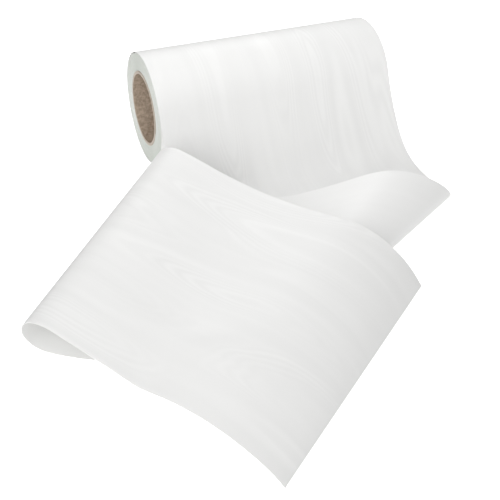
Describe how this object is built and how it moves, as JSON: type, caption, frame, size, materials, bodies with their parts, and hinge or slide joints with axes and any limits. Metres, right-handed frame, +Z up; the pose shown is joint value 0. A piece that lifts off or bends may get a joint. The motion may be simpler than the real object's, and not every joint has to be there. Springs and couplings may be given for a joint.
{
  "type": "backdrop paper roll",
  "caption": "Short wide roll of watered-finish white paper on a spiral-wound cardboard core, its loose end drawn off and folded back on itself on the table.",
  "frame": {"origin": "centre of the core's bore, half-way along it", "axes": "+X along the bore, +Z up from the table, the loose web comes off towards -Y"},
  "size_m": [0.3156, 0.383, 0.0828],
  "materials": {
    "moire_paper": "satin, watered figure",
    "core_board": "matte kraft",
    "tape": "matte"
  },
  "bodies": {
    "loose_web": {"web_outer_turn": "moire_paper", "web_drop": "moire_paper", "web_table_run": "moire_paper", "web_right_fold": "moire_paper", "web_middle_panel": "moire_paper", "web_left_fold": "moire_paper", "web_front_panel": "moire_paper", "web_cut_edge": "moire_paper"},
    "roll": {"core_inner_liner": "core_board", "core_body_ply_1": "core_board", "core_body_ply_2": "core_board", "core_body_ply_3": "core_board", "core_body_ply_4": "core_board", "core_outer_ply": "core_board", "starting_tape": "tape", "wound_web": "moire_paper"}
  },
  "joints": [
    {"name": "roll_turn", "type": "hinge", "parent": "loose_web", "child": "roll", "pos_m": [0, 0, 0], "axis": [1, 0, 0], "continuous": true}
  ]
}
